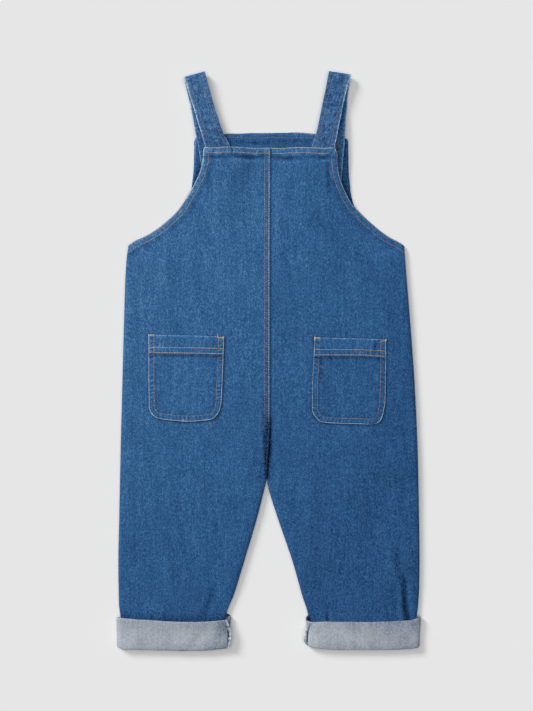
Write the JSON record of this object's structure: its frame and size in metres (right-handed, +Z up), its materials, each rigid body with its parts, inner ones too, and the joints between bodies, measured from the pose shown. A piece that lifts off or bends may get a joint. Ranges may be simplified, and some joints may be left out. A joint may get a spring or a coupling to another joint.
{
  "type": "kids dungarees",
  "caption": "Small child's blue denim dungarees laid flat, back side up, with folded shoulder straps, back patch pockets and rolled-up cuffs.",
  "frame": {"origin": "centre of the laid-out garment, on the surface that it lies on", "axes": "+Y from the leg ends towards the straps, +Z up from the surface, out of the back of the garment; +X to the right as seen from above"},
  "size_m": [0.3336, 0.6371, 0.012],
  "materials": {
    "denim": "washed mid-blue cotton twill, matt, slightly faded on folded edges",
    "denim_wrong_side": "wrong side of the same twill, pale blue-grey, matt",
    "antique_brass": "darkened brass, satin"
  },
  "bodies": {
    "root": {"front_left_panel": "denim", "front_right_panel": "denim", "back_left_panel": "denim", "back_right_panel": "denim", "bib_facing": "denim", "strap_left": "denim", "strap_right": "denim", "pocket_left": "denim", "pocket_right": "denim", "cuff_left": "denim_wrong_side", "cuff_right": "denim_wrong_side", "cuff_seam_left": "denim_wrong_side", "cuff_seam_right": "denim_wrong_side", "button_left": "antique_brass", "button_right": "antique_brass"}
  },
  "joints": []
}
